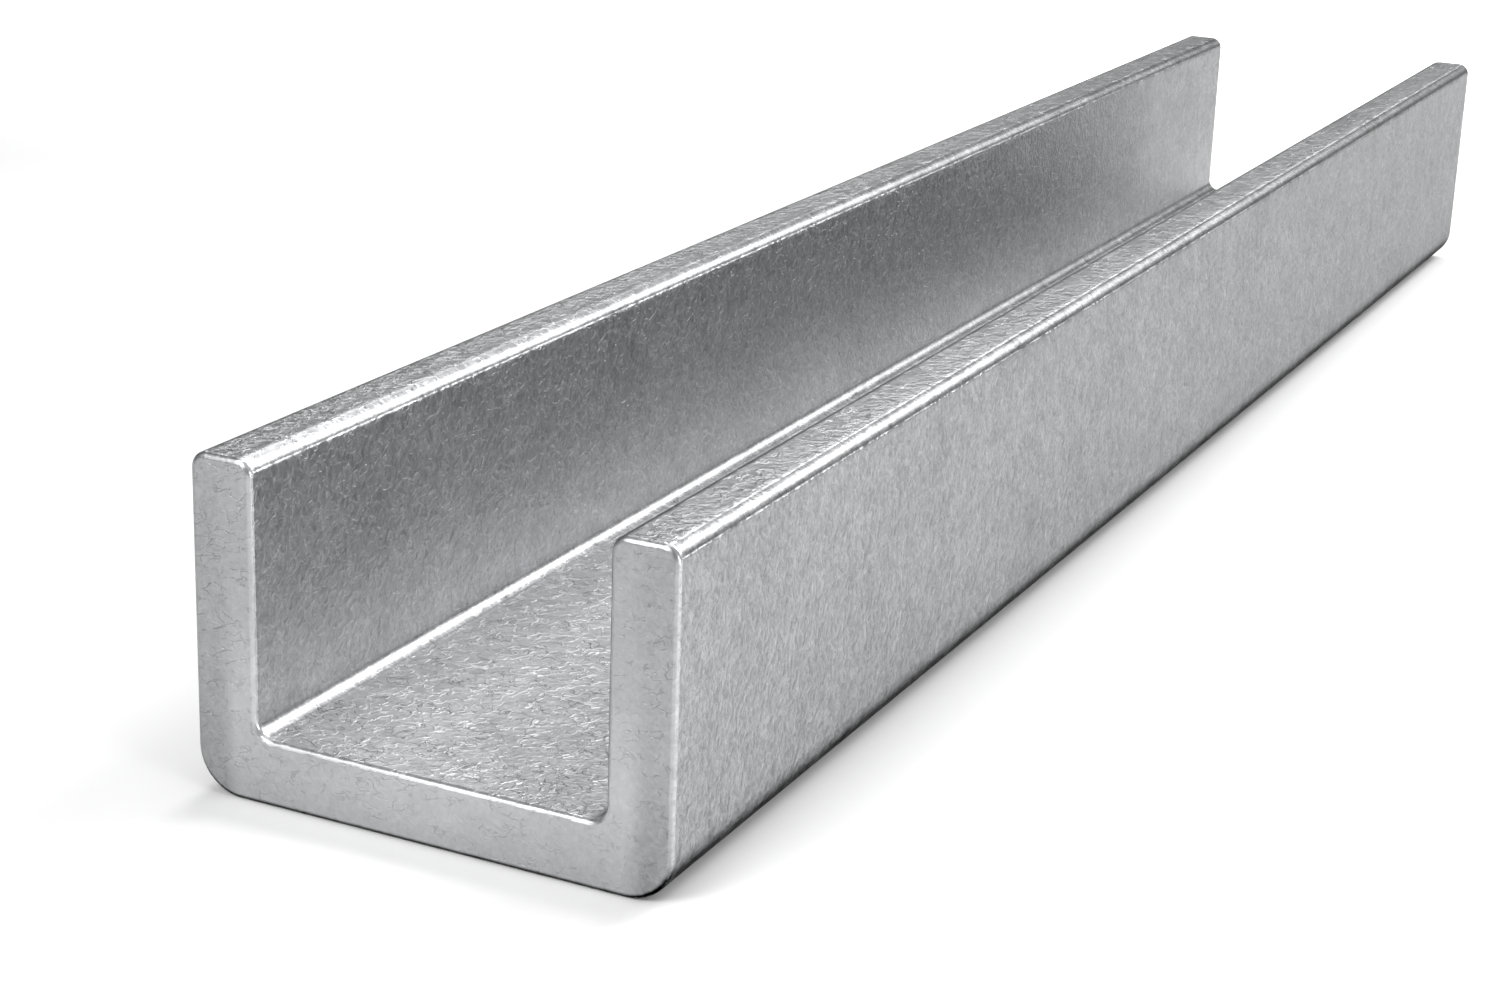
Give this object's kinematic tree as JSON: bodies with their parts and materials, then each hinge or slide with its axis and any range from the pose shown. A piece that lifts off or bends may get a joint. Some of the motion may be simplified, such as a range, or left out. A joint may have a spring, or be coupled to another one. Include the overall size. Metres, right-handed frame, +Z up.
{
  "type": "steel u-channel",
  "caption": "Short length of heavy-walled galvanised steel U-channel with rounded heels and toes and dressed ends.",
  "frame": {"origin": "centre of the underside of the web, halfway along the length", "axes": "+X across the web, +Y along the length, +Z up out of the open side"},
  "size_m": [0.075, 0.43, 0.05],
  "materials": {
    "galvanised_steel": "hot-dip galvanised, pale grey zinc skin with a fine leathery crinkle"
  },
  "bodies": {
    "root": {"u_channel": "galvanised_steel"}
  },
  "joints": []
}
